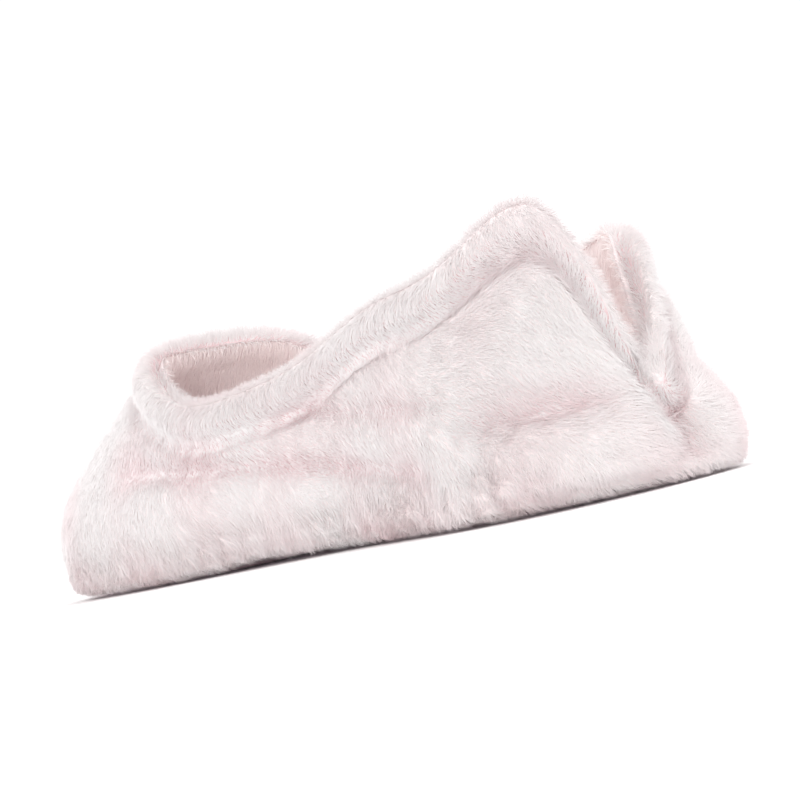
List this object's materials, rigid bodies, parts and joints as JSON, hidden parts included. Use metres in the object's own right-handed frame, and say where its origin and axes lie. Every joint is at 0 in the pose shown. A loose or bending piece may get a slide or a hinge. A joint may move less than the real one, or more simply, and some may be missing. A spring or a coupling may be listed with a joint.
{
  "type": "ballerina slipper",
  "caption": "Plush ballerina house slipper for the right foot: soft fur-like upper with a rolled collar hem, twill-covered foam sole and ribbed rubber grip pads underneath.",
  "frame": {"origin": "on the floor, under the middle of the slipper's box", "axes": "toe to -Y, inner side of the right foot (the wearer's left) to +X, up to +Z"},
  "size_m": [0.1058, 0.2582, 0.0713],
  "materials": {
    "plush": "soft pale pink plush pile",
    "twill": "fine pale pink twill",
    "footbed": "short brushed pile",
    "grip_rubber": "matte moulded rubber"
  },
  "bodies": {
    "root": {"upper": "plush", "sole": "twill", "insole": "footbed", "heel_grip": "grip_rubber", "forefoot_grip": "grip_rubber"}
  },
  "joints": []
}
